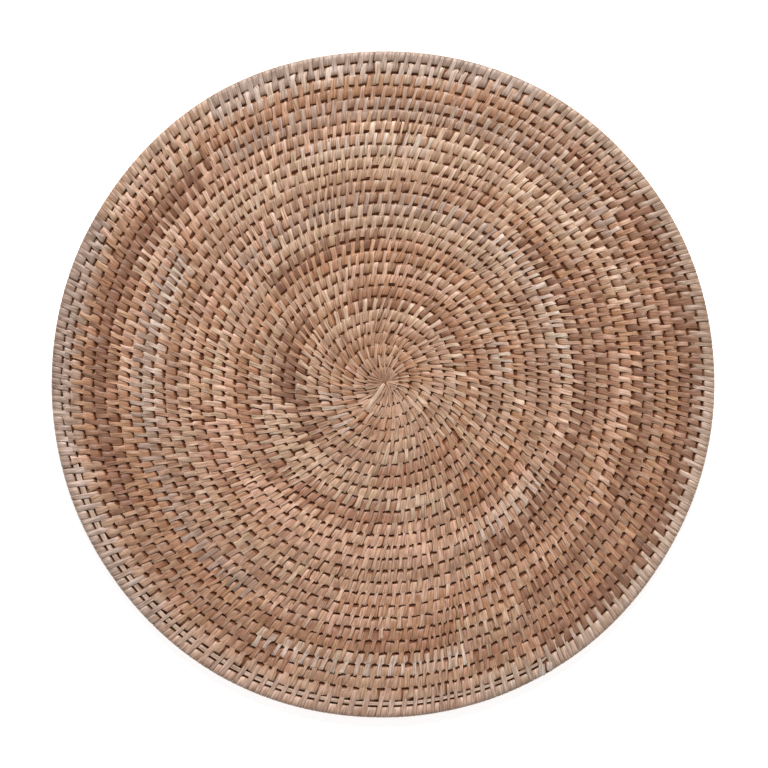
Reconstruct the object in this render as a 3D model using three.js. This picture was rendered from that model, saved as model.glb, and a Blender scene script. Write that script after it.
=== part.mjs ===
// Round coiled rattan placemat, in millimetres, +Z up.
//
// One long core is wound in a flat spiral that opens counterclockwise, seen from above, and strips of
// split rattan are stitched over it. Its end is pared thin, and a hoop of the same core is bound round
// it as the rim. Both pieces have a flat underside and one rounded rib for each turn of the coil on
// top. The origin is the centre of the spiral, on the underside.

import * as THREE from 'three';
import { LoftGeometry } from 'three/addons/geometries/LoftGeometry.js';
import { mergeVertices } from 'three/addons/utils/BufferGeometryUtils.js';

// Driving dimensions
const COIL_PITCH = 6.15;
const SPIRAL_TURNS = 27;
const THICKNESS = 7.0;
const VALLEY_DEPTH = 1.6;
const EDGE_ROLL = 1.5;
const UNDERSIDE_CHAMFER = 1.0;
const HOOP_CLEARANCE = 0.3;
const COIL_END_DIRECTION = THREE.MathUtils.degToRad(-58);

// Across one coil, the rib rises to a flat crown between these two shares of its width.
const CROWN_START = 0.28;
const CROWN_END = 0.72;

// The mat is wound by hand. At each angle in degrees from the coil's end, counterclockwise: how far
// the outermost turns bulge out, the valley inside the hoop, and the outline.
const UNEVENNESS = [
  { angle: 0, bulge: 0, hoopInside: 166.05, rim: 174.1 },
  { angle: 30, bulge: 0, hoopInside: 166.6, rim: 173.0 },
  { angle: 60, bulge: 0, hoopInside: 167.2, rim: 173.5 },
  { angle: 90, bulge: 0.4, hoopInside: 168.2, rim: 174.6 },
  { angle: 120, bulge: 0.7, hoopInside: 169.0, rim: 175.5 },
  { angle: 150, bulge: 0.5, hoopInside: 168.7, rim: 174.7 },
  { angle: 180, bulge: 0.2, hoopInside: 169.3, rim: 176.4 },
  { angle: 210, bulge: 0.5, hoopInside: 168.9, rim: 175.2 },
  { angle: 240, bulge: 0.8, hoopInside: 168.8, rim: 174.5 },
  { angle: 270, bulge: 1.2, hoopInside: 169.2, rim: 174.8 },
  { angle: 300, bulge: 1.4, hoopInside: 169.7, rim: 175.8 },
  { angle: 330, bulge: 0.7, hoopInside: 169.0, rim: 175.0 },
  { angle: 345, bulge: 0.3, hoopInside: 168.6, rim: 174.6 },
  { angle: 360, bulge: 0, hoopInside: 166.05, rim: 174.1 },
];

const SEGMENTS_PER_TURN = 48;
const MERGE_DISTANCE = 1e-4;
const VALLEY_HEIGHT = THICKNESS - VALLEY_DEPTH;

// One column of the table at an angle, eased from one row to the next.
function uneven(column, angle) {
  const next = Math.max(1, UNEVENNESS.findIndex((row) => row.angle >= angle));
  const before = UNEVENNESS[next - 1];
  const after = UNEVENNESS[next];
  const ease = THREE.MathUtils.smoothstep(angle, before.angle, after.angle);
  return THREE.MathUtils.lerp(before[column], after[column], ease);
}

// The valley on the inner side of a coil. The first one is a tight hook that opens from the centre,
// and the bulge grows with the cube of the way out.
function valleyRadius(coil, angle) {
  const turns = coil + angle / 360;
  if (coil === 0) {
    return COIL_PITCH * Math.sqrt(turns);
  }
  return COIL_PITCH * turns + uneven('bulge', angle) * (turns / SPIRAL_TURNS) ** 3;
}

// A rib from one valley to the next: where its crown starts and ends, and its outer valley. A rib
// that is narrower than the coil's pitch is lower too.
function rib(inner, outer) {
  const share = Math.min(1, (outer - inner) / COIL_PITCH);
  const crownHeight = VALLEY_HEIGHT + VALLEY_DEPTH * share;
  return [
    [THREE.MathUtils.lerp(inner, outer, CROWN_START), crownHeight],
    [THREE.MathUtils.lerp(inner, outer, CROWN_END), crownHeight],
    [outer, VALLEY_HEIGHT],
  ];
}

// Radius and height from the top of the centre, out over the ribs, down the edge and back underneath.
function discProfile(angle) {
  const points = [[0, VALLEY_HEIGHT], ...rib(0, valleyRadius(0, angle))];
  for (let coil = 0; coil < SPIRAL_TURNS - 1; coil += 1) {
    points.push(...rib(valleyRadius(coil, angle), valleyRadius(coil + 1, angle)));
  }
  const edge = uneven('hoopInside', angle);
  points.push(...rib(valleyRadius(SPIRAL_TURNS - 1, angle), edge));
  points.push([edge, VALLEY_DEPTH], [edge - UNDERSIDE_CHAMFER, 0], [0, 0]);
  return points;
}

// The hoop's closed section, from its inner wall over the crown and round the rim.
function hoopProfile(angle) {
  const inside = uneven('hoopInside', angle) + HOOP_CLEARANCE;
  const rim = uneven('rim', angle);
  return [
    [inside, VALLEY_HEIGHT],
    ...rib(inside, rim - EDGE_ROLL),
    [rim, THICKNESS / 2],
    [rim - EDGE_ROLL, VALLEY_DEPTH],
    [rim - EDGE_ROLL - UNDERSIDE_CHAMFER, 0],
    [inside + UNDERSIDE_CHAMFER, 0],
    [inside, VALLEY_DEPTH],
  ];
}

// Joins the points that meet and drops the triangles that close to a line.
function weld(skin) {
  const surface = new THREE.BufferGeometry();
  surface.setAttribute('position', skin.getAttribute('position'));
  surface.setIndex(skin.getIndex());
  const joined = mergeVertices(surface, MERGE_DISTANCE);
  const corners = joined.getIndex().array;
  const kept = [];
  for (let first = 0; first < corners.length; first += 3) {
    const triangle = [corners[first], corners[first + 1], corners[first + 2]];
    if (new Set(triangle).size === 3) {
      kept.push(...triangle);
    }
  }
  joined.setIndex(kept);
  joined.computeVertexNormals();
  return joined;
}

// Stands a profile up at each step of one turn about the centre and skins them.
function wind(name, profile, closed, material) {
  const sections = [];
  for (let segment = 0; segment <= SEGMENTS_PER_TURN; segment += 1) {
    const angle = (360 * segment) / SEGMENTS_PER_TURN;
    const direction = COIL_END_DIRECTION + THREE.MathUtils.degToRad(angle % 360);
    const x = Math.cos(direction);
    const y = Math.sin(direction);
    const stand = ([radius, height]) => new THREE.Vector3(x * radius, y * radius, height);
    sections.push(profile(angle).map(stand));
  }
  const mesh = new THREE.Mesh(weld(new LoftGeometry(sections, { closed })), material);
  mesh.name = name;
  return mesh;
}

const rattan = new THREE.MeshStandardMaterial({ color: 0xa37f69, roughness: 0.6, metalness: 0 });
const paleRattan = new THREE.MeshStandardMaterial({ color: 0xb09580, roughness: 0.6, metalness: 0 });

const placemat = new THREE.Group();
placemat.add(wind('coiled_disc', discProfile, false, rattan));
placemat.add(wind('rim_hoop', hoopProfile, true, paleRattan));

export default placemat;
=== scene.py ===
# %% [markdown]
# # A round coiled rattan placemat
#
# The real mat is coiled basketwork. One long rattan core is wound in a flat spiral, and split strips of
# rattan are stitched over it. Every stitch is a bar that lies across two turns of the core, and the bars
# of one turn fit between the bars of the next. A hoop of the same core is bound round it as the rim.
#
# The imported solids give the mat's place and size. Their box is kept from the start, and its top is
# the top of the mat.

import math

import bpy
import numpy as np
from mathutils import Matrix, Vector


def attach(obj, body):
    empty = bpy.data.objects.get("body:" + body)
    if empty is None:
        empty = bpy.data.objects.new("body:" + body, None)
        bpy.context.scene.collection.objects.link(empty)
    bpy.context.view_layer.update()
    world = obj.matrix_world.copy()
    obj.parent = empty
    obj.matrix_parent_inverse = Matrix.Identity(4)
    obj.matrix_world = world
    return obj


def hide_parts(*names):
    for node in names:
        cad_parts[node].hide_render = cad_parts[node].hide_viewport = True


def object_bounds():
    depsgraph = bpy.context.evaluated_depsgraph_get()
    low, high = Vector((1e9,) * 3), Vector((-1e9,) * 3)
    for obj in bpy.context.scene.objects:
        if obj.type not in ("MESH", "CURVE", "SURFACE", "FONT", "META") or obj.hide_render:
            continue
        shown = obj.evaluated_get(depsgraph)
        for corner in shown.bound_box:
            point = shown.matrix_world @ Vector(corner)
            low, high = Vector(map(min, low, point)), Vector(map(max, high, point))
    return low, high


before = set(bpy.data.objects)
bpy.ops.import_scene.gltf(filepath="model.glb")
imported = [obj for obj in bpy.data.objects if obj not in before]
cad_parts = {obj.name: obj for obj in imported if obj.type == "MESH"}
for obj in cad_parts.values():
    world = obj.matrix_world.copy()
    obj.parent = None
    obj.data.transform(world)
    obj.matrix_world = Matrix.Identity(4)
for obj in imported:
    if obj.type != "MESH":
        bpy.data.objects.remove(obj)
solid_low, solid_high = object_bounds()
TOP = solid_high.z
print("solids:", [round(side * 1000, 1) for side in solid_high - solid_low], "mm")

# %% [markdown]
# ## The line of the coil
#
# The core gains its own width with each turn, so its line is an even spiral, counted here in turns from
# the centre. It could be drawn as a curve by hand, but every later piece needs to ask where the coil is,
# so it is a small function instead. Hand winding is never quite even: the table says how the outer turns
# bulge, where the hoop starts and where the outline runs, as in the solids, with one more row where the
# end of the binding makes a step.

# %% Spiral
MM = 0.001
COIL_PITCH = 6.15 * MM
SPIRAL_TURNS = 27
COIL_END = math.radians(-58)

# Columns: degrees from the coil's end, bulge, valley inside the hoop and outline, in millimetres.
UNEVENNESS = np.array([
    (0, 0, 166.05, 174.1),
    (30, 0, 166.6, 173.0),
    (60, 0, 167.2, 173.5),
    (90, 0.4, 168.2, 174.6),
    (120, 0.7, 169.0, 175.5),
    (150, 0.5, 168.7, 174.7),
    (180, 0.2, 169.3, 176.4),
    (210, 0.5, 168.9, 175.2),
    (240, 0.8, 168.8, 174.5),
    (270, 1.2, 169.2, 174.8),
    (300, 1.4, 169.7, 175.8),
    (330, 0.7, 169.0, 175.0),
    (345, 0.3, 168.6, 174.6),
    (357, 0.1, 168.7, 174.2),
    (360, 0, 166.05, 174.1),
])
ANGLE, BULGE, HOOP_INSIDE, RIM = range(4)


def uneven(column, turns):
    """One column of the table at a place along the coil, eased from row to row, in metres."""
    degrees = (np.asarray(turns) % 1.0) * 360
    row = np.searchsorted(UNEVENNESS[:, ANGLE], degrees, side="right") - 1
    before = UNEVENNESS[row]
    after = UNEVENNESS[row + 1]
    share = (degrees - before[..., ANGLE]) / (after[..., ANGLE] - before[..., ANGLE])
    ease = share * share * (3 - 2 * share)
    return (before[..., column] + (after[..., column] - before[..., column]) * ease) * MM


def valley(turns):
    """Radius of the valley on the inner side of the coil. The first turn is a tight hook."""
    turns = np.maximum(turns, 0.0)
    bulge = uneven(BULGE, turns) * (turns / SPIRAL_TURNS) ** 3
    return np.where(turns < 1, COIL_PITCH * np.sqrt(turns), COIL_PITCH * turns + bulge)


def direction(turns):
    """Angle about the centre, counterclockwise from +X, in radians."""
    return COIL_END + 2 * math.pi * turns


print("last valley at", round(float(valley(26.0)) / MM, 1), "mm")

# %% [markdown]
# ## Where the stitches go
#
# A weaver pushes each stitch through between two stitches of the turn before. So the places are grown the
# same way: a new stitch starts half way between two that are already there, one turn back, and moves a
# little against the winding because the bars lean. A second stitch goes into the same gap whenever the
# turn has become long enough to need it. Then the row is evened out a little, as pulling tight does.

# %% Stitch places
rng = np.random.default_rng(27)

# Columns: turns from the centre, and the spacing of the stitches along the coil in millimetres.
STITCH_SPACING = np.array([(0, 4.6), (4, 4.8), (8, 5.4), (13, 5.5), (18, 6.1), (24, 6.1), (28, 6.75)])
# Columns: turns from the centre, and how far the bars lean from the radius in degrees.
STITCH_LEAN = np.array([(0, 7), (1, 10), (2, 16), (3.5, 20), (5, 20), (10, 15), (20, 12.5), (28, 10)])
FIRST_TURN_STITCHES = 26
HOOP_START = 26.70
HOOP_END = 27.72
EVENING_ROUNDS = 5
HAND_WOBBLE = 0.07
SECOND_STITCH_AT = 1.5


def lean(turns):
    """Slope of the bars against the radius."""
    return np.tan(np.radians(np.interp(turns, STITCH_LEAN[:, 0], STITCH_LEAN[:, 1])))


def stitches_per_turn(turns):
    spacing = np.interp(turns, STITCH_SPACING[:, 0], STITCH_SPACING[:, 1]) * MM
    return 2 * math.pi * COIL_PITCH * turns / spacing


def one_turn_on(turns):
    """The place beside this one on the next turn, set back because the bars lean."""
    return turns + 1 - lean(turns + 1) / (2 * math.pi * (turns + 1))


places = [number / FIRST_TURN_STITCHES for number in range(FIRST_TURN_STITCHES)]
gaps = [0.0] * FIRST_TURN_STITCHES
owed = 0.0
gap = 0
while places[-1] < HOOP_END:
    width = places[gap + 1] - places[gap]
    owed += width * stitches_per_turn(places[gap] + 1 + width / 2)
    count = 2 if owed > SECOND_STITCH_AT else 1
    owed = max(owed - count, 0.0)
    for number in range(count):
        share = (number + 1) / (count + 1)
        places.append(one_turn_on(places[gap] + width * share))
        gaps.append(gap + share)
    gap += 1
print("stitches started:", len(places))

# %% Pulled even
places = np.array(places)
gaps = np.array(gaps)
later = np.arange(FIRST_TURN_STITCHES, len(places) - 1)
for evening in range(EVENING_ROUNDS):
    below = gaps[later].astype(int)
    between = places[below] + (places[below + 1] - places[below]) * (gaps[later] - below)
    spaced = (places[later - 1] + places[later + 1]) / 2
    places[later] = (one_turn_on(between) + spaced) / 2
places += rng.normal(0, HAND_WOBBLE, len(places)) * np.gradient(places)
spaces = np.gradient(places)
in_disc = places < HOOP_START
in_hoop = ~in_disc & (places < HOOP_START + 1)
print(in_disc.sum(), "stitches on the coil and", in_hoop.sum(), "round the hoop")

# %% [markdown]
# ## The colours of the strips
#
# Each strip of split rattan lasts for some thirty to sixty stitches, and then the weaver starts another
# of a slightly different colour. That is what makes the mottled runs along the coil. The runs that catch
# the eye are charted below, by turn and by degrees from the coil's end, in named colours. All others are
# drawn from the plain tans. A colour per strip in an attribute lets one material serve them all.

# %% Named colours
TONES = {
    "tan": (164, 128, 103),
    "rose": (180, 142, 118),
    "honey": (159, 117, 88),
    "olive": (155, 119, 95),
    "straw": (174, 142, 117),
    "chalk": (178, 152, 134),
    "slate": (151, 124, 107),
    "rust": (146, 104, 79),
    "umber": (127, 88, 65),
    "ivory": (170, 145, 127),
    "dun": (151, 124, 104),
    "stone": (151, 128, 113),
    "amber": (163, 132, 109),
    "ash": (145, 120, 105),
    "pearl": (167, 143, 128),
    "sand": (173, 142, 123),
}


def linear(tone):
    """A colour as seen on a screen, from 0 to 255, as the light that a shader works with."""
    share = np.asarray(tone) / 255
    return np.where(share < 0.04045, share / 12.92, ((share + 0.055) / 1.055) ** 2.4)


print("strip colours:", len(TONES))

# %% Charted runs
# Columns: turn, first and last degree from the coil's end, and the colour of the strip.
CHART = [
    (0, 0, 360, "olive"),
    (1, 0, 360, "tan"),
    (2, 110, 360, "tan"),
    (3, 0, 60, "straw"),
    (4, 245, 290, "chalk"),
    (5, 0, 60, "olive"),
    (7, 0, 80, "honey"),
    (7, 80, 165, "rust"),
    (7, 165, 225, "honey"),
    (7, 225, 275, "umber"),
    (7, 325, 360, "rust"),
    (8, 0, 20, "rust"),
    (8, 60, 165, "honey"),
    (8, 195, 250, "umber"),
    (9, 100, 170, "rose"),
    (9, 250, 345, "straw"),
    (10, 55, 80, "chalk"),
    (10, 290, 335, "rust"),
    (11, 0, 30, "honey"),
    (11, 60, 235, "honey"),
    (11, 235, 330, "rust"),
    (12, 0, 50, "honey"),
    (12, 150, 195, "umber"),
    (12, 220, 260, "honey"),
    (12, 280, 345, "rose"),
    (13, 0, 30, "rust"),
    (14, 95, 185, "straw"),
    (14, 210, 250, "straw"),
    (15, 0, 28, "chalk"),
    (15, 60, 113, "chalk"),
    (15, 113, 200, "slate"),
    (15, 245, 275, "rust"),
    (17, 0, 105, "umber"),
    (17, 305, 360, "rose"),
    (18, 0, 75, "olive"),
    (18, 130, 190, "straw"),
    (18, 230, 250, "rust"),
    (18, 250, 315, "olive"),
    (19, 50, 90, "rust"),
    (19, 95, 195, "straw"),
    (19, 207, 250, "chalk"),
    (19, 315, 345, "rose"),
    (20, 90, 135, "straw"),
    (20, 135, 168, "chalk"),
    (20, 168, 195, "straw"),
    (20, 205, 295, "slate"),
    (20, 330, 360, "honey"),
    (21, 0, 75, "honey"),
    (21, 300, 345, "rust"),
    (22, 0, 75, "umber"),
    (22, 110, 200, "olive"),
    (23, 90, 185, "slate"),
    (23, 190, 265, "umber"),
    (23, 300, 345, "chalk"),
    (24, 110, 185, "olive"),
    (24, 185, 268, "umber"),
    (24, 270, 310, "rust"),
    (24, 345, 360, "rust"),
    (25, 0, 110, "rust"),
    (25, 187, 200, "straw"),
    (26, 0, 95, "umber"),
    (26, 130, 180, "chalk"),
    (26, 210, 250, "slate"),
]


def charted_tone(chart, turn, degrees):
    """The name of the charted colour at a place, or nothing."""
    for row, first, last, name in chart:
        if row == turn and first <= degrees < last:
            return name
    return None


print("charted runs:", len(CHART))

# %% Colours along the coil
PLAIN_TONES = ["tan", "rose", "olive", "honey", "straw"]
PLAIN_SHARES = [0.38, 0.2, 0.14, 0.18, 0.1]
STRIP_STITCHES = (30, 65)
STRIP_VARIATION = 0.04
STITCH_VARIATION = 0.05
HUE_VARIATION = 0.012

stitch_tones = np.zeros((len(places), 3))
left = 0
for number, place in enumerate(places):
    if left == 0:
        left = int(rng.integers(*STRIP_STITCHES))
        plain = rng.choice(PLAIN_TONES, p=PLAIN_SHARES)
        strip = rng.normal(1, STRIP_VARIATION)
    left -= 1
    turn = int(place)
    name = charted_tone(CHART, turn, (place - turn) * 360) or plain
    stitch = rng.normal(1, STITCH_VARIATION) * rng.normal(1, HUE_VARIATION, 3)
    stitch_tones[number] = linear(TONES[name]) * strip * stitch
print("mean strip colour:", stitch_tones.mean(axis=0).round(2))

# %% [markdown]
# ## A joined mesh of many strips
#
# There are thousands of bars, so they can't be modelled one by one. A Geometry Nodes instance would make
# them all alike, while here each one has its own length, lean and width. So a few helpers turn whole
# tables of points into a joined mesh. Every strip rides along its own path and has five points round it:
# a flat face, two thin edges and one point underneath, inside the mat.

# %% Section of a strip
STRIP_THICKNESS = 0.75 * MM
EDGE_DROP = 0.28 * MM
SHOULDER = 0.76
ACROSS = np.array([-1, -SHOULDER, SHOULDER, 1, 0])
BELOW_FACE = np.array([EDGE_DROP, 0, 0, EDGE_DROP, STRIP_THICKNESS])
RING = len(ACROSS)


def unit(vectors):
    return vectors / np.linalg.norm(vectors, axis=-1, keepdims=True)


def strip_points(path, widths, skew, roll):
    """Points round each station of each strip. The skew and the roll tilt them."""
    along = unit(np.gradient(path, axis=1))
    level = unit(along * (1, 1, 0))
    across = np.cross((0, 0, 1), level)
    out = unit(np.cross(along, across))
    half = (across - level * skew + out * roll) * (widths / 2)[..., None]
    return path[:, :, None] + half[:, :, None] * ACROSS[:, None] - out[:, :, None] * BELOW_FACE[:, None]


print("points round a strip:", RING)

# %% Faces of a strip


def strip_corners(stations):
    """Station and place round the section for each corner of a strip's sides, and of its two ends."""
    row, ring = np.meshgrid(np.arange(stations - 1), np.arange(RING), indexing="ij")
    station = row[..., None] + (0, 1, 1, 0)
    place = ring[..., None] + (0, 0, 1, 1)
    sides = np.stack([station, place], axis=-1).reshape(-1, 4, 2)
    turn = np.arange(RING)
    first = np.stack([turn * 0, turn], axis=-1)
    last = np.stack([turn * 0 + stations - 1, turn[::-1]], axis=-1)
    return sides, np.stack([first, last])


print("faces of a strip with 11 stations:", sum(len(part) for part in strip_corners(11)))

# %% [markdown]
# ## Maps and colour of the strips
#
# The grain has to run along each strip, so every strip gets a UV map in millimetres along and across it.
# A second map gives each strip a cell of its own, so that the finish can be baked into a picture. The
# colour goes into an attribute with painted shade in it: thin edges are painted darker, and what dives
# between the coils is painted dark and warm, where shade falls.

# %% Maps of the strips
GRAIN_STEP = 37.0
CELL_COLUMNS = 16
CELL_MARGIN = 0.06
CELL_PLACES = np.array([0, 0.1, 0.7, 0.8, 0.9, 1.0])
CAP_SIZE = 0.02


def distance_along(path):
    steps = np.linalg.norm(np.diff(path, axis=1), axis=-1)
    return np.concatenate([np.zeros((len(path), 1)), np.cumsum(steps, axis=1)], axis=1)


def grain_map(path, widths, sides):
    """Millimetres along and across each strip, for every corner of its sides."""
    station, place = sides[..., 0], sides[..., 1]
    along = distance_along(path) / MM + np.arange(len(path))[:, None] * GRAIN_STEP
    across = widths[:, station] / 2 / MM * ACROSS[place % RING]
    return np.stack([along[:, station], across], axis=-1).reshape(len(path), -1, 2)


def cell_map(path, sides):
    """Every strip laid out in its own cell of a square, with its two ends in the margin."""
    strips = len(path)
    station, place = sides[..., 0], sides[..., 1]
    along = distance_along(path)
    along = (along / along[:, -1:])[:, station]
    across = np.broadcast_to(CELL_PLACES[place], along.shape)
    laid = CELL_MARGIN + (1 - 2 * CELL_MARGIN) * np.stack([along, across], axis=-1).reshape(strips, -1, 2)
    turn = np.arange(RING) / RING * 2 * math.pi
    ring = np.stack([np.cos(turn), np.sin(turn)], axis=-1) * CAP_SIZE
    caps = np.concatenate([ring + (CELL_MARGIN / 2, 0.5), ring + (1 - CELL_MARGIN / 2, 0.5)])
    cells = np.concatenate([laid, np.broadcast_to(caps, (strips, 2 * RING, 2))], axis=1)
    columns = min(CELL_COLUMNS, strips)
    rows = -(-strips // columns)
    number = np.arange(strips)
    corner = np.stack([number % columns, number // columns], axis=-1)
    return (cells + corner[:, None]) / (columns, rows)


print("strips in a row of cells:", CELL_COLUMNS)

# %% Colour of the strips
# Painted shade turns warmer as it darkens.
SHADE_WARMTH = np.array([0.65, 1.12, 1.6])
# Painted shade round the section: thin edges darker for the grooves between strips, darker still
# underneath.
RING_SHADE = np.array([0.74, 1.0, 1.0, 0.74, 0.5])


def shaded(tones, shade):
    """Colours at each station of each strip, with painted shade. Where it is darker it is warmer too."""
    return tones[:, None] * shade[..., None] ** SHADE_WARMTH


def point_colours(tones):
    """Red, green, blue and alpha for each point, with the painted shade round the section."""
    colours = tones[:, :, None] * RING_SHADE[:, None] ** SHADE_WARMTH
    return np.concatenate([colours, np.ones(colours.shape[:-1] + (1,))], axis=-1)


print("a half shaded strip keeps", (0.5 ** SHADE_WARMTH).round(2), "of its colour")

# %% Joining
SKEW = math.tan(math.radians(15))
SMOOTH_ANGLE = math.radians(40)


def strip_faces(strips, stations, sides, caps):
    """Point numbers of the faces of all strips, one strip after the other."""
    faces = []
    for part in (sides, caps):
        faces += (part[..., 0] * RING + part[..., 1] % RING).tolist()
    starts = range(0, strips * stations * RING, stations * RING)
    return [[corner + start for corner in face] for start in starts for face in faces]


def fill(layer, key, values):
    """Writes a table of values into a layer of the mesh."""
    layer.data.foreach_set(key, values.reshape(-1).astype(np.float32))


def show_smooth(name, mesh):
    """Puts a mesh into the scene as a piece, smooth but for its sharp edges."""
    piece = bpy.data.objects.new(name, mesh)
    bpy.context.collection.objects.link(piece)
    bpy.ops.object.select_all(action="DESELECT")
    piece.select_set(True)
    bpy.context.view_layer.objects.active = piece
    bpy.ops.object.shade_smooth_by_angle(angle=SMOOTH_ANGLE)
    return piece


def join_strips(name, path, widths, tones, below=False, skew=SKEW, roll=0.0):
    """A joined mesh of strips whose faces follow the paths; below turns it over to the underside."""
    strips, stations = widths.shape
    points = strip_points(path, widths, skew, roll)
    sides, caps = strip_corners(stations)
    if below:
        points[..., 2] = TOP - points[..., 2]
        sides, caps = sides[:, ::-1], caps[:, ::-1]
    mesh = bpy.data.meshes.new(name)
    mesh.from_pydata(points.reshape(-1, 3).tolist(), [], strip_faces(strips, stations, sides, caps))
    grain = grain_map(path, widths, sides)
    grain = np.concatenate([grain, np.zeros((strips, 2 * RING, 2))], axis=1)
    fill(mesh.attributes.new("strip_tone_and_shade", "FLOAT_COLOR", "POINT"), "color", point_colours(tones))
    fill(mesh.uv_layers.new(name="OFBake"), "uv", cell_map(path, sides))
    fill(mesh.uv_layers.new(name="grain"), "uv", grain)
    return show_smooth(name, mesh)


print("edges sharper than", round(math.degrees(SMOOTH_ANGLE)), "degrees stay crisp")

# %% [markdown]
# ## The stitches over the coil
#
# On the mat each bar starts in the valley outside its own turn, runs over that turn and across the next
# valley, and widens over the turn inside before it dives in again. The table below is that bar from end
# to end. Seen from above the bars of two turns share one coil, so narrow own ends and wide feet take
# turns along it, and a short dark slit stays open at the end of each foot.

# %% Shape of a stitch
# Columns: place across the coil, from 1 at the outer valley by 0 at the crossing to -1 at the inner one,
# the drop below the top in millimetres, the width as a share of the stitches' spacing, and the painted
# light and shade: lighter on the raised own half, darker down the foot and darkest where the bar dives.
STITCH_SHAPE = np.array([
    (0.957, 2.20, 0.38, 0.40),
    (0.930, 0.95, 0.45, 0.66),
    (0.890, 0.30, 0.49, 1.02),
    (0.760, 0.05, 0.47, 1.10),
    (0.400, 0.00, 0.42, 1.08),
    (-0.060, 0.08, 0.44, 1.05),
    (-0.140, 0.16, 0.76, 1.01),
    (-0.280, 0.27, 1.00, 0.96),
    (-0.750, 0.44, 1.02, 0.83),
    (-0.865, 0.85, 1.02, 0.58),
    (-0.908, 2.20, 1.00, 0.40),
])
OUT, DROP, WIDTH, SHADE = STITCH_SHAPE.T
OWN_HALF_FROM = 0.3
OWN_HALF = OUT > OWN_HALF_FROM
FOOT_WIDTH = 0.76
FILLED = 1.15
# Columns: degrees from the coil's end, and how wide the feet of the hoop's fingers are.
FINGER_FEET = np.array([(0, 0.40), (60, 0.42), (115, 0.68), (230, 0.68), (260, 0.42), (360, 0.40)])


def finger_foot(turns):
    return np.interp(np.asarray(turns) % 1.0 * 360, FINGER_FEET[:, 0], FINGER_FEET[:, 1])


def stitch_widths(turns):
    """Shares of the spacing. Beside the hoop's narrow fingers the own halves have more room."""
    room = np.where(turns < HOOP_START - 1, FOOT_WIDTH, finger_foot(turns))
    return WIDTH * np.where(OWN_HALF, (FILLED - room) / (FILLED - FOOT_WIDTH), 1.0)


print("stations along a stitch:", len(STITCH_SHAPE))

# %% Paths of the stitches
HUB = np.array([1.05, 1.3]) * MM
HUB_REACH = 25 * MM
CENTRE_RADIUS = 0.35 * MM
STRAP_WIDTH = 1.15 * MM
STRAP_DROP = 0.6
# Columns: turns from the centre, and how far the slits are open.
SLIT_OPENNESS = np.array([(0, 0.1), (3, 0.3), (6, 0.65), (10, 0.9)])
SLIT_VARIATION = 0.42
SLIT_WIDEST = 1.6
SLIT_END = 0.75
WIDTH_VARIATION = 0.11
EDGE_VARIATION = 0.04
PATH_VARIATION = 0.11 * MM
HEIGHT_VARIATION = 0.06 * MM
LEAN_VARIATION = 0.06
SHADE_VARIATION = 0.05


def about_hub(x, y):
    """The winding starts a little beside the spiral's centre, and the first turns with it."""
    pull = np.clip(1 - np.hypot(x, y) / HUB_REACH, 0, 1) ** 2
    return x + HUB[0] * pull, y + HUB[1] * pull


def coil_edges(turns):
    """Radius of the valleys inside and outside the coil. Outside the last turn is the hoop."""
    outer = np.where(turns > SPIRAL_TURNS - 1, uneven(HOOP_INSIDE, turns), valley(turns + 1))
    return valley(turns), np.minimum(outer, valley(turns + 1))


def stitch_paths(numbers):
    """Paths, widths and painted shades of stitches on the coil. Each one is straight, seen from above."""
    turns = places[numbers][:, None]
    crossing, outer = coil_edges(turns)
    inner = np.where(turns < 1, CENTRE_RADIUS, valley(turns - 1))
    slit = np.interp(turns, SLIT_OPENNESS[:, 0], SLIT_OPENNESS[:, 1])
    slit = np.minimum(slit * np.exp(rng.normal(0, SLIT_VARIATION, turns.shape)), SLIT_WIDEST)
    out = np.where(np.abs(OUT) > SLIT_END, np.sign(OUT) * (1 - (1 - np.abs(OUT)) * slit), OUT)
    inward = -np.where(out > 0, out * (outer - crossing), out * (crossing - inner))
    slope = lean(turns) + rng.normal(0, LEAN_VARIATION, turns.shape)
    sideways = inward * slope + rng.normal(0, PATH_VARIATION, inward.shape)
    ray = np.array([np.cos(direction(turns)), np.sin(direction(turns))])
    x = ray[0] * (crossing - inward) - ray[1] * sideways
    y = ray[1] * (crossing - inward) + ray[0] * sideways
    x, y = about_hub(x, y)
    drop = np.where((turns < 1) & (OUT < 0), np.minimum(DROP, STRAP_DROP), DROP) * MM
    drop = drop + np.abs(rng.normal(0, HEIGHT_VARIATION, turns.shape))
    path = np.stack([x, y, TOP - drop], axis=-1)
    spacing = spaces[numbers][:, None] * 2 * math.pi * (crossing - inward) / np.sqrt(1 + slope ** 2)
    widths = np.where(turns < 1, STRAP_WIDTH, stitch_widths(turns) * spacing)
    widths = widths * rng.normal(1, WIDTH_VARIATION, turns.shape)
    widths = widths * rng.normal(1, EDGE_VARIATION, widths.shape)
    return path, widths, SHADE * rng.normal(1, SHADE_VARIATION, widths.shape)


print("hub beside the centre by", (HUB / MM).round(1), "mm")

# %% Stitches
ROLL_VARIATION = 0.05
STITCH_BANDS = 6

upper_stitches = []
lower_stitches = []
for band, numbers in enumerate(np.array_split(np.flatnonzero(in_disc), STITCH_BANDS), start=1):
    path, widths, shade = stitch_paths(numbers)
    # Each stitch's colour takes its painted light and shade here.
    tones = shaded(stitch_tones[numbers], shade)
    roll = rng.normal(0, ROLL_VARIATION, (len(numbers), 1, 1))
    upper_stitches.append(join_strips(f"upper_stitches_{band}", path, widths, tones, roll=roll))
    lower_stitches.append(join_strips(f"lower_stitches_{band}", path, widths, tones, below=True, roll=roll))
print("bands of stitches:", [len(piece.data.polygons) for piece in upper_stitches])

# %% [markdown]
# ## The strap over the centre
#
# The winding is locked at its start by one broad strip that runs from the hub over the first two turns.
# It lies on top of the others and ends square. It is one more strip, so the same helper makes it.

# %% Strap over the centre
STRAP_FROM = np.array([0.2, 0.2]) * MM
STRAP_TO = np.array([-9.7, -14.6]) * MM
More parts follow.
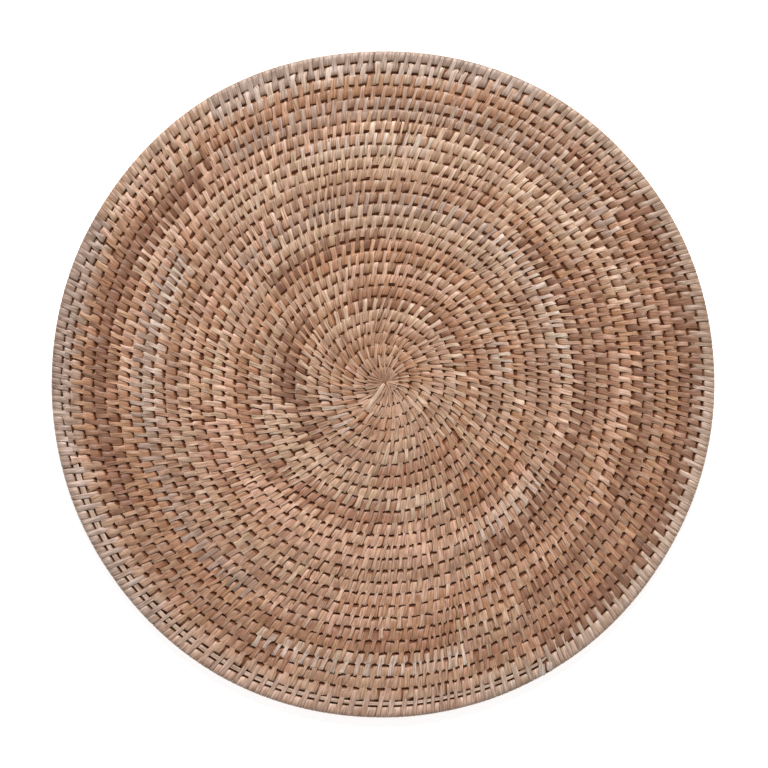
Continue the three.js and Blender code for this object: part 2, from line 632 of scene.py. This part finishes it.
# Columns: share of the way, drop below the top in millimetres, width in millimetres, and shade: the strip
# is paler along its middle, with painted shade at both ends, where it dives.
STRAP_SHAPE = np.array([
    (0.00, 0.50, 1.4, 0.80),
    (0.06, 0.05, 1.9, 1.15),
    (0.30, -0.15, 2.2, 1.30),
    (0.60, -0.15, 2.4, 1.25),
    (0.90, -0.05, 2.5, 1.10),
    (0.97, 0.20, 2.5, 0.85),
    (1.00, 1.20, 2.5, 0.45),
])
strap_way = STRAP_FROM + (STRAP_TO - STRAP_FROM) * STRAP_SHAPE[:, :1]
strap_path = np.concatenate([strap_way, TOP - STRAP_SHAPE[:, 1:2] * MM], axis=1)[None]
strap_widths = STRAP_SHAPE[None, :, 2] * MM
strap_tones = shaded(linear(TONES["straw"])[None], STRAP_SHAPE[None, :, 3])
centre_strap = join_strips("centre_strap", strap_path, strap_widths, strap_tones, skew=0)
print("strap:", round(float(np.linalg.norm(STRAP_TO - STRAP_FROM)) / MM, 1), "mm long")

# %% [markdown]
# ## The hoop's binding
#
# The rim is bound by the same strips, paler here. Narrow fingers come up round the outside, over the hoop
# and on over the coil inside it, and hold the two together. Between them short wide wraps go round the
# hoop alone. Both are bars on a path again, so the same helper makes them.

# %% Shape of the binding
FINGER_WIDTH = 0.40
WRAP_WIDTH = 0.61
# Columns: distance in from the outline and drop below the top, in millimetres, and shade, from half
# height up. The shade is painted, darker down the outer side of the rim.
ROUND_THE_RIM = np.array([
    (0.00, 3.80, 0.8),
    (0.08, 2.00, 0.9),
    (0.35, 0.90, 1.0),
    (1.10, 0.28, 1.0),
    (2.60, 0.05, 1.0),
])
# Columns: share of the way from the valley inside the hoop to the next valley, drop, share of the foot's
# width against the finger's, and shade. The shade is painted, darker where the finger dives.
OVER_THE_COIL = np.array([
    (0.00, 0.10, 0.0, 1.05),
    (0.24, 0.08, 0.5, 1.05),
    (0.46, 0.08, 1.0, 1.00),
    (0.78, 0.20, 1.0, 0.85),
    (0.88, 0.70, 1.0, 0.60),
    (0.93, 2.30, 0.9, 0.40),
])
# Columns: distance out from the valley inside the hoop, drop and shade, painted darker down into the
# valley.
INTO_THE_VALLEY = np.array([(1.20, 0.12, 1.0), (0.50, 0.60, 0.75), (0.25, 2.30, 0.4)])
WRAP_DROP = 0.10 * MM


def hoop_path(turns, radius, drop):
    """Straight bars across the hoop, leaning like the stitches."""
    inside = uneven(HOOP_INSIDE, turns)
    angle = direction(turns) + lean(turns) * (inside - radius) / inside
    return np.stack([radius * np.cos(angle), radius * np.sin(angle), TOP - drop], axis=-1)


def finger_paths(turns, spacing):
    rim = uneven(RIM, turns) - ROUND_THE_RIM[:, 0] * MM
    inside = uneven(HOOP_INSIDE, turns)
    crossing = (np.minimum(valley(turns), inside) + inside) / 2
    coil = crossing + OVER_THE_COIL[:, 0] * (valley(turns - 1) - crossing)
    radius = np.concatenate([rim, coil], axis=1)
    drop = np.concatenate([ROUND_THE_RIM[:, 1], OVER_THE_COIL[:, 1]]) * MM
    foot = FINGER_WIDTH + OVER_THE_COIL[:, 2] * (finger_foot(turns) - FINGER_WIDTH)
    widths = spacing * np.concatenate([np.full(rim.shape, FINGER_WIDTH), foot], axis=1)
    shade = np.concatenate([ROUND_THE_RIM[:, 2], OVER_THE_COIL[:, 3]])
    return hoop_path(turns, radius, np.broadcast_to(drop, radius.shape)), widths, shade


def wrap_paths(turns, spacing):
    rim = uneven(RIM, turns) - ROUND_THE_RIM[:, 0] * MM
    inside = uneven(HOOP_INSIDE, turns) + INTO_THE_VALLEY[:, 0] * MM
    radius = np.concatenate([rim, inside], axis=1)
    drop = np.concatenate([ROUND_THE_RIM[:, 1], INTO_THE_VALLEY[:, 1]]) * MM + WRAP_DROP
    shade = np.concatenate([ROUND_THE_RIM[:, 2], INTO_THE_VALLEY[:, 2]])
    widths = np.broadcast_to(spacing * WRAP_WIDTH, radius.shape)
    return hoop_path(turns, radius, np.broadcast_to(drop, radius.shape)), widths, shade


print("fingers and wraps together fill", round(FINGER_WIDTH + WRAP_WIDTH, 2), "of the hoop's length")

# %% Binding of the hoop
# Columns: turn, first and last degree from the coil's end, and the colour of the hoop's strip.
HOOP_CHART = [
    (0, 0, 60, "ivory"),
    (0, 60, 120, "dun"),
    (0, 120, 180, "stone"),
    (0, 180, 208, "amber"),
    (0, 208, 240, "ash"),
    (0, 240, 285, "pearl"),
    (0, 285, 345, "sand"),
    (0, 345, 360, "ivory"),
]
HOOP_VARIATION = 0.06
BINDING_END_TURN = 26.995


def hoop_tones(turns, shade):
    """Colours of bars on the hoop, by their place round it, with their painted shade."""
    names = [charted_tone(HOOP_CHART, 0, degrees) for degrees in (turns[:, 0] % 1.0 * 360)]
    tones = linear([TONES[name] for name in names]) * rng.normal(1, HOOP_VARIATION, (len(names), 1))
    return shaded(tones, shade * rng.normal(1, SHADE_VARIATION, (len(names), len(shade))))


fingers = np.flatnonzero(in_hoop)
finger_turns = places[fingers][:, None]
following = np.append(places[fingers[1:]], places[fingers[0]] + 1)[:, None]
wrap_turns = (finger_turns + following) / 2
hoop_spacing = (following - finger_turns) * 2 * math.pi * uneven(RIM, finger_turns)
hoop_pieces = []
last_wrap = np.argmin(np.abs(wrap_turns - BINDING_END_TURN))
every_bar = np.arange(len(fingers))
bindings = [
    ("fingers", finger_turns, finger_paths, every_bar),
    ("wraps", wrap_turns, wrap_paths, np.delete(every_bar, last_wrap)),
]
for kind, turns, lay, on_top in bindings:
    path, widths, shade = lay(turns, hoop_spacing)
    tones = hoop_tones(turns, shade)
    skew = lean(turns)[..., None]
    upper = join_strips(f"upper_{kind}", path[on_top], widths[on_top], tones[on_top], skew=skew[on_top])
    lower = join_strips(f"lower_{kind}", path, widths, tones, below=True, skew=skew)
    hoop_pieces += [upper, lower]
print("hoop binding:", len(fingers), "fingers and as many wraps, with one left out on top")

# %% [markdown]
# ## The end of the binding
#
# The last strip of the binding ends at the lower right, in place of a wrap. Its last two turns are laid
# straight down side by side, broad and pale, and tucked away under the rim.

# %% End of the binding
# Columns: millimetres to the right of the centre, start and end of the strip below it, and its width.
BINDING_ENDS = np.array([(86.65, 145.4, 150.6, 3.1), (82.65, 146.6, 152.9, 3.4)])
# Columns: share of the way, drop below the top in millimetres, and shade: paler along the middle, with
# painted shade at both ends, where the strip is tucked away.
BINDING_END_SHAPE = np.array([
    (0.00, 1.40, 0.50),
    (0.04, -0.10, 1.15),
    (0.20, -0.30, 1.35),
    (0.77, -0.20, 1.35),
    (0.96, 0.50, 1.15),
    (1.00, 2.40, 0.80),
])
end_x, end_start, end_finish, end_width = BINDING_ENDS.T[:, :, None] * MM
end_share, end_drop, end_shade = BINDING_END_SHAPE.T
end_y = -(end_start + (end_finish - end_start) * end_share)
end_path = np.stack(np.broadcast_arrays(end_x, end_y, TOP - end_drop * MM), axis=-1)
end_widths = np.broadcast_to(end_width, end_y.shape)
end_tones = shaded(linear(TONES["ivory"])[None], end_shade[None])
end_tones = np.repeat(end_tones, len(BINDING_ENDS), axis=0)
binding_end = join_strips("binding_end", end_path, end_widths, end_tones, skew=0)
print("last turns of the binding:", len(BINDING_ENDS))

# %% [markdown]
# ## The core inside
#
# Between the bars the core shows in slits, its brown painted darker for the shade down in them. By hand it
# would be a path with a flattened bevel, and so it is made: a curve along the spiral that takes its
# section from a second small curve, and is then turned into a mesh. The hoop has a core of its own.

# %% Section of the core
# Corners as shares of half the core's width.
CORE_SECTION = [(1, 0.56), (0.5, 0.82), (-0.5, 0.82), (-1, 0.56)]
section_curve = bpy.data.curves.new("core_section", "CURVE")
section_spline = section_curve.splines.new("POLY")
section_spline.use_cyclic_u = True
section_corners = CORE_SECTION + [(-x, -y) for x, y in CORE_SECTION]
section_spline.points.add(len(section_corners) - 1)
for point, (x, y) in zip(section_spline.points, section_corners):
    point.co = (x, y, 0, 1)
core_section = bpy.data.objects.new("core_section", section_curve)
bpy.context.collection.objects.link(core_section)
print("corners of the core:", len(section_corners))

# %% Laying a core


def lay_core(name, inner, outer, turns, closed):
    """A core between two radii, along a flat line of places, at half the mat's height."""
    radius = (inner + outer) / 2
    x, y = about_hub(radius * np.cos(direction(turns)), radius * np.sin(direction(turns)))
    curve = bpy.data.curves.new(name, "CURVE")
    curve.dimensions = "3D"
    curve.twist_mode = "Z_UP"
    curve.bevel_mode = "OBJECT"
    curve.bevel_object = core_section
    curve.use_fill_caps = not closed
    spline = curve.splines.new("POLY")
    spline.points.add(len(turns) - 1)
    spline.use_cyclic_u = closed
    for point, east, north, half in zip(spline.points, x, y, (outer - inner) / 2):
        point.co = (east, north, TOP / 2, 1)
        point.radius = half
    core = bpy.data.objects.new(name, curve)
    bpy.context.collection.objects.link(core)
    bpy.ops.object.select_all(action="DESELECT")
    core.select_set(True)
    bpy.context.view_layer.objects.active = core
    bpy.ops.object.convert(target="MESH")
    bpy.ops.object.mode_set(mode="EDIT")
    bpy.ops.mesh.select_all(action="SELECT")
    bpy.ops.mesh.normals_make_consistent(inside=False)
    bpy.ops.object.mode_set(mode="OBJECT")
    bpy.ops.object.shade_smooth()
    return bpy.context.object


print("core laid at", round(TOP / 2 / MM, 1), "mm above the table")

# %% Cores of the coil and of the hoop
CORE_START = 0.05
EVEN_FROM = 8.0
CORE_FINISH = 26.999
FIRST_CORE_STEPS = 320
CORE_STEPS = 1500
HOOP_STEPS = 240
HOOP_CORE_INSET = 0.35 * MM
CORE_OVERLAP = 0.2 * MM

# Past the first turns the steps are of one length, so they go by the square of the turns.
core_turns = np.concatenate([
    np.linspace(CORE_START, EVEN_FROM, FIRST_CORE_STEPS, endpoint=False),
    np.sqrt(np.linspace(EVEN_FROM ** 2, CORE_FINISH ** 2, CORE_STEPS)),
])
core_inner, core_outer = coil_edges(core_turns)
core_inner = np.maximum(core_inner - CORE_OVERLAP, 0)
core_outer = core_outer + CORE_OVERLAP
coil_core = lay_core("coil_core", core_inner, core_outer, core_turns, closed=False)
hoop_turns = np.arange(HOOP_STEPS) / HOOP_STEPS
hoop_inner = uneven(HOOP_INSIDE, hoop_turns) - CORE_OVERLAP
hoop_outer = uneven(RIM, hoop_turns) - HOOP_CORE_INSET
hoop_core = lay_core("hoop_core", hoop_inner, hoop_outer, hoop_turns, closed=True)
bpy.data.objects.remove(core_section)
print("core:", len(coil_core.data.polygons), "faces, hoop core:", len(hoop_core.data.polygons))

# %% Start of the core
PLUG_SIDES = 24
PLUG_RADIUS = 7.5 * MM
PLUG_HEIGHT = 5.8 * MM
PLUG_BEVEL = 1.2 * MM
PLUG_BEVEL_STEPS = 2
bpy.ops.object.select_all(action="DESELECT")
bpy.ops.mesh.primitive_cylinder_add(vertices=PLUG_SIDES, radius=PLUG_RADIUS, depth=PLUG_HEIGHT)
core_start = bpy.context.object
core_start.name = "core_start"
bpy.ops.object.mode_set(mode="EDIT")
bpy.ops.mesh.select_all(action="SELECT")
bpy.ops.mesh.bevel(offset=PLUG_BEVEL, segments=PLUG_BEVEL_STEPS, affect="EDGES")
bpy.ops.transform.translate(value=(HUB[0], HUB[1], TOP / 2))
bpy.ops.object.mode_set(mode="OBJECT")
print("start of the core:", len(core_start.data.polygons), "faces")

# %% [markdown]
# ## The pared end of the coil
#
# The last stretch of the core is pared down to a thin flat strip before it goes under the hoop, so that
# the rim comes out round. It is bare there, and shows as a pale line beside the hoop.

# %% Pared end
PARED_START = 26.60
PARED_STEPS = 60
PARED_GAP = 0.9 * MM
PARED_LEAST = 1.0 * MM
PARED_DROP = 0.6 * MM
pared_turns = np.linspace(PARED_START, CORE_FINISH, PARED_STEPS)
pared_inner, pared_outer = coil_edges(pared_turns)
pared_radius = (pared_inner + pared_outer) / 2
pared_path = np.stack([
    pared_radius * np.cos(direction(pared_turns)),
    pared_radius * np.sin(direction(pared_turns)),
    np.full(PARED_STEPS, TOP - PARED_DROP),
], axis=-1)[None]
pared_width = np.maximum(pared_outer - pared_inner - PARED_GAP, PARED_LEAST)[None]
pared_tones = shaded(linear(TONES["chalk"])[None], np.ones((1, PARED_STEPS)))
pared_end = [
    join_strips("upper_pared_end", pared_path, pared_width, pared_tones, skew=0),
    join_strips("lower_pared_end", pared_path, pared_width, pared_tones, below=True, skew=0),
]
print("pared end:", round(float(pared_width.max()) / MM, 1), "mm wide at its start")

# %% [markdown]
# ## The finish of split rattan
#
# Split rattan is satin, with fine fibres along the strip that are darker and browner in their furrows. The
# colour of the strip, with its painted light and shade, comes from its attribute. Fibres follow the
# strip's own UV map in millimetres, and slow stains follow the mat, in Object coordinates. The same
# fibres raise the surface a little.

# %% Nodes of a finish
FIBRE_ALONG = 0.12
FIBRE_ACROSS = 1.25
FIBRE_DARK = (0.60, 0.53, 0.47)
FIBRE_LIGHT = (1.24, 1.30, 1.36)
STAIN_SCALE = 90.0
STAIN_DARK = (0.90, 0.87, 0.84)
STAIN_LIGHT = (1.09, 1.11, 1.13)
NOISE_LOW = 0.34
NOISE_HIGH = 0.66
# A Map Range node has its sockets twice, for numbers first. These are the places of those for vectors.
SHARE, FROM_LOW, FROM_HIGH, TO_DARK, TO_LIGHT = range(6, 11)


def noise(tree, vector, scale, detail):
    """A noise texture that reads a vector."""
    node = tree.nodes.new("ShaderNodeTexNoise")
    node.inputs["Scale"].default_value = scale
    node.inputs["Detail"].default_value = detail
    tree.links.new(vector, node.inputs["Vector"])
    return node.outputs["Fac"]


def tint(tree, colour, share, dark, light):
    """A colour multiplied by a tint between a dark and a light one, by a noise."""
    spread = tree.nodes.new("ShaderNodeMapRange")
    spread.data_type = "FLOAT_VECTOR"
    spread.inputs[FROM_LOW].default_value = (NOISE_LOW,) * 3
    spread.inputs[FROM_HIGH].default_value = (NOISE_HIGH,) * 3
    spread.inputs[TO_DARK].default_value = dark
    spread.inputs[TO_LIGHT].default_value = light
    tree.links.new(share, spread.inputs[SHARE])
    product = tree.nodes.new("ShaderNodeVectorMath")
    product.operation = "MULTIPLY"
    tree.links.new(colour, product.inputs[0])
    tree.links.new(spread.outputs["Vector"], product.inputs[1])
    return product.outputs["Vector"]


print("fibres are", round(1 / FIBRE_ACROSS, 1), "mm apart")

# %% Split rattan
FIBRE_DETAIL = 3.0
STAIN_DETAIL = 3.0
BUMP_STRENGTH = 0.7
BUMP_DISTANCE = 0.25 * MM
RATTAN_ROUGHNESS = 0.5


def split_rattan(name):
    material = bpy.data.materials.new(name)
    material.use_nodes = True
    tree = material.node_tree
    shader = tree.nodes["Principled BSDF"]
    tone = tree.nodes.new("ShaderNodeAttribute")
    tone.attribute_name = "strip_tone_and_shade"
    grain = tree.nodes.new("ShaderNodeUVMap")
    grain.uv_map = "grain"
    stretch = tree.nodes.new("ShaderNodeMapping")
    stretch.inputs["Scale"].default_value = (FIBRE_ALONG, FIBRE_ACROSS, 1)
    tree.links.new(grain.outputs["UV"], stretch.inputs["Vector"])
    fibres = noise(tree, stretch.outputs["Vector"], 1.0, FIBRE_DETAIL)
    place = tree.nodes.new("ShaderNodeTexCoord")
    stains = noise(tree, place.outputs["Object"], STAIN_SCALE, STAIN_DETAIL)
    colour = tint(tree, tone.outputs["Color"], fibres, FIBRE_DARK, FIBRE_LIGHT)
    colour = tint(tree, colour, stains, STAIN_DARK, STAIN_LIGHT)
    tree.links.new(colour, shader.inputs["Base Color"])
    bump = tree.nodes.new("ShaderNodeBump")
    bump.inputs["Strength"].default_value = BUMP_STRENGTH
    bump.inputs["Distance"].default_value = BUMP_DISTANCE
    tree.links.new(fibres, bump.inputs["Height"])
    tree.links.new(bump.outputs["Normal"], shader.inputs["Normal"])
    shader.inputs["Roughness"].default_value = RATTAN_ROUGHNESS
    return material


coil_finish = split_rattan("split_rattan")
hoop_finish = split_rattan("pale_split_rattan")
print("split rattan nodes:", len(coil_finish.node_tree.nodes))

# %% Core rattan
CORE_FIBRE_SCALE = 700.0
CORE_FIBRE_DETAIL = 2.0
CORE_ROUGHNESS = 0.8
# The core's brown is painted darker, for the shade down in the slits where it shows.
CORE_SHADED_TONE = (112, 61, 27)
PITH_TONE = (142, 106, 80)
CORE_DEPTH = 0.55


def core_rattan(name, tone):
    material = bpy.data.materials.new(name)
    material.use_nodes = True
    tree = material.node_tree
    shader = tree.nodes["Principled BSDF"]
    place = tree.nodes.new("ShaderNodeTexCoord")
    fibres = noise(tree, place.outputs["Object"], CORE_FIBRE_SCALE, CORE_FIBRE_DETAIL)
    ramp = tree.nodes.new("ShaderNodeValToRGB")
    ramp.color_ramp.elements[0].color = (*(linear(tone) * CORE_DEPTH), 1)
    ramp.color_ramp.elements[1].color = (*linear(tone), 1)
    tree.links.new(fibres, ramp.inputs["Fac"])
    tree.links.new(ramp.outputs["Color"], shader.inputs["Base Color"])
    shader.inputs["Roughness"].default_value = CORE_ROUGHNESS
    return material


shaded_core_finish = core_rattan("core_rattan", CORE_SHADED_TONE)
pith_finish = core_rattan("pith", PITH_TONE)
disc_strips = upper_stitches + lower_stitches + pared_end + [centre_strap]
hoop_strips = hoop_pieces + [binding_end]
finishes = [
    (disc_strips, coil_finish),
    (hoop_strips, hoop_finish),
    ([coil_core, hoop_core], shaded_core_finish),
    ([core_start], pith_finish),
]
for pieces, finish in finishes:
    for piece in pieces:
        piece.data.materials.append(finish)
print("finishes:", [material.name for material in bpy.data.materials])

# %% [markdown]
# ## Places in the frame
#
# The mat is one stiff piece, so everything rides on its one body. The coil's pieces stand for the solid
# disc and the binding stands for the solid hoop.

# %% Ride on the frame
for piece in disc_strips + [coil_core, core_start]:
    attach(piece, "root")
    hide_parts("coiled_disc")
for piece in hoop_strips + [hoop_core]:
    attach(piece, "root")
    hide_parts("rim_hoop")

# %% [markdown]
# ## Floor, light and camera
#
# The mat lies on a plain white floor and is seen from straight above. A long lens high up keeps it as flat
# as in the photo. The light is soft: a bright sky all round, and one wide lamp beyond the far edge
# that gives each bar a lit and a shaded side.

# %% Floor
FLOOR_SIZE = 3.0
FLOOR_GAP = 0.3 * MM
FLOOR_COLOUR = (0.85, 0.85, 0.85, 1)
FLOOR_ROUGHNESS = 0.9
FLOOR_GLOW = 0.7
WHITE = (1, 1, 1, 1)
bpy.ops.object.select_all(action="DESELECT")
bpy.ops.mesh.primitive_plane_add(size=FLOOR_SIZE, location=(0, 0, -FLOOR_GAP))
floor = bpy.context.object
floor.name = "floor"
white = bpy.data.materials.new("white_floor")
white.use_nodes = True
paint = white.node_tree.nodes["Principled BSDF"]
paint.inputs["Base Color"].default_value = FLOOR_COLOUR
paint.inputs["Roughness"].default_value = FLOOR_ROUGHNESS
paint.inputs["Emission Color"].default_value = WHITE
paint.inputs["Emission Strength"].default_value = FLOOR_GLOW
floor.data.materials.append(white)
print("floor:", FLOOR_SIZE, "m across")

# %% Light
SKY_STRENGTH = 0.35
LAMP_PLACE = (0.0, 2.0, 1.75)
LAMP_SIZE = 0.92
LAMP_ENERGY = 114

world = bpy.data.worlds.new("soft_sky")
world.use_nodes = True
sky = world.node_tree.nodes["Background"]
sky.inputs["Color"].default_value = WHITE
sky.inputs["Strength"].default_value = SKY_STRENGTH
bpy.context.scene.world = world

bpy.ops.object.light_add(type="AREA", location=LAMP_PLACE)
lamp = bpy.context.object
lamp.name = "wide_lamp"
lamp.data.size = LAMP_SIZE
lamp.data.energy = LAMP_ENERGY
lamp.rotation_euler = (-math.atan2(LAMP_PLACE[1], LAMP_PLACE[2]), 0, 0)
print("lamp:", LAMP_ENERGY, "W")

# %% Camera
CAMERA_HEIGHT = 2.0
SENSOR = 36.0
VIEW_WIDTH = 0.4037
bpy.ops.object.camera_add(location=(0, 0, CAMERA_HEIGHT), rotation=(0, 0, 0))
camera = bpy.context.object
camera.data.sensor_width = SENSOR
camera.data.lens = SENSOR * CAMERA_HEIGHT / VIEW_WIDTH
bpy.context.scene.camera = camera
bpy.context.scene.view_settings.view_transform = "Standard"
print("lens:", round(camera.data.lens), "mm")
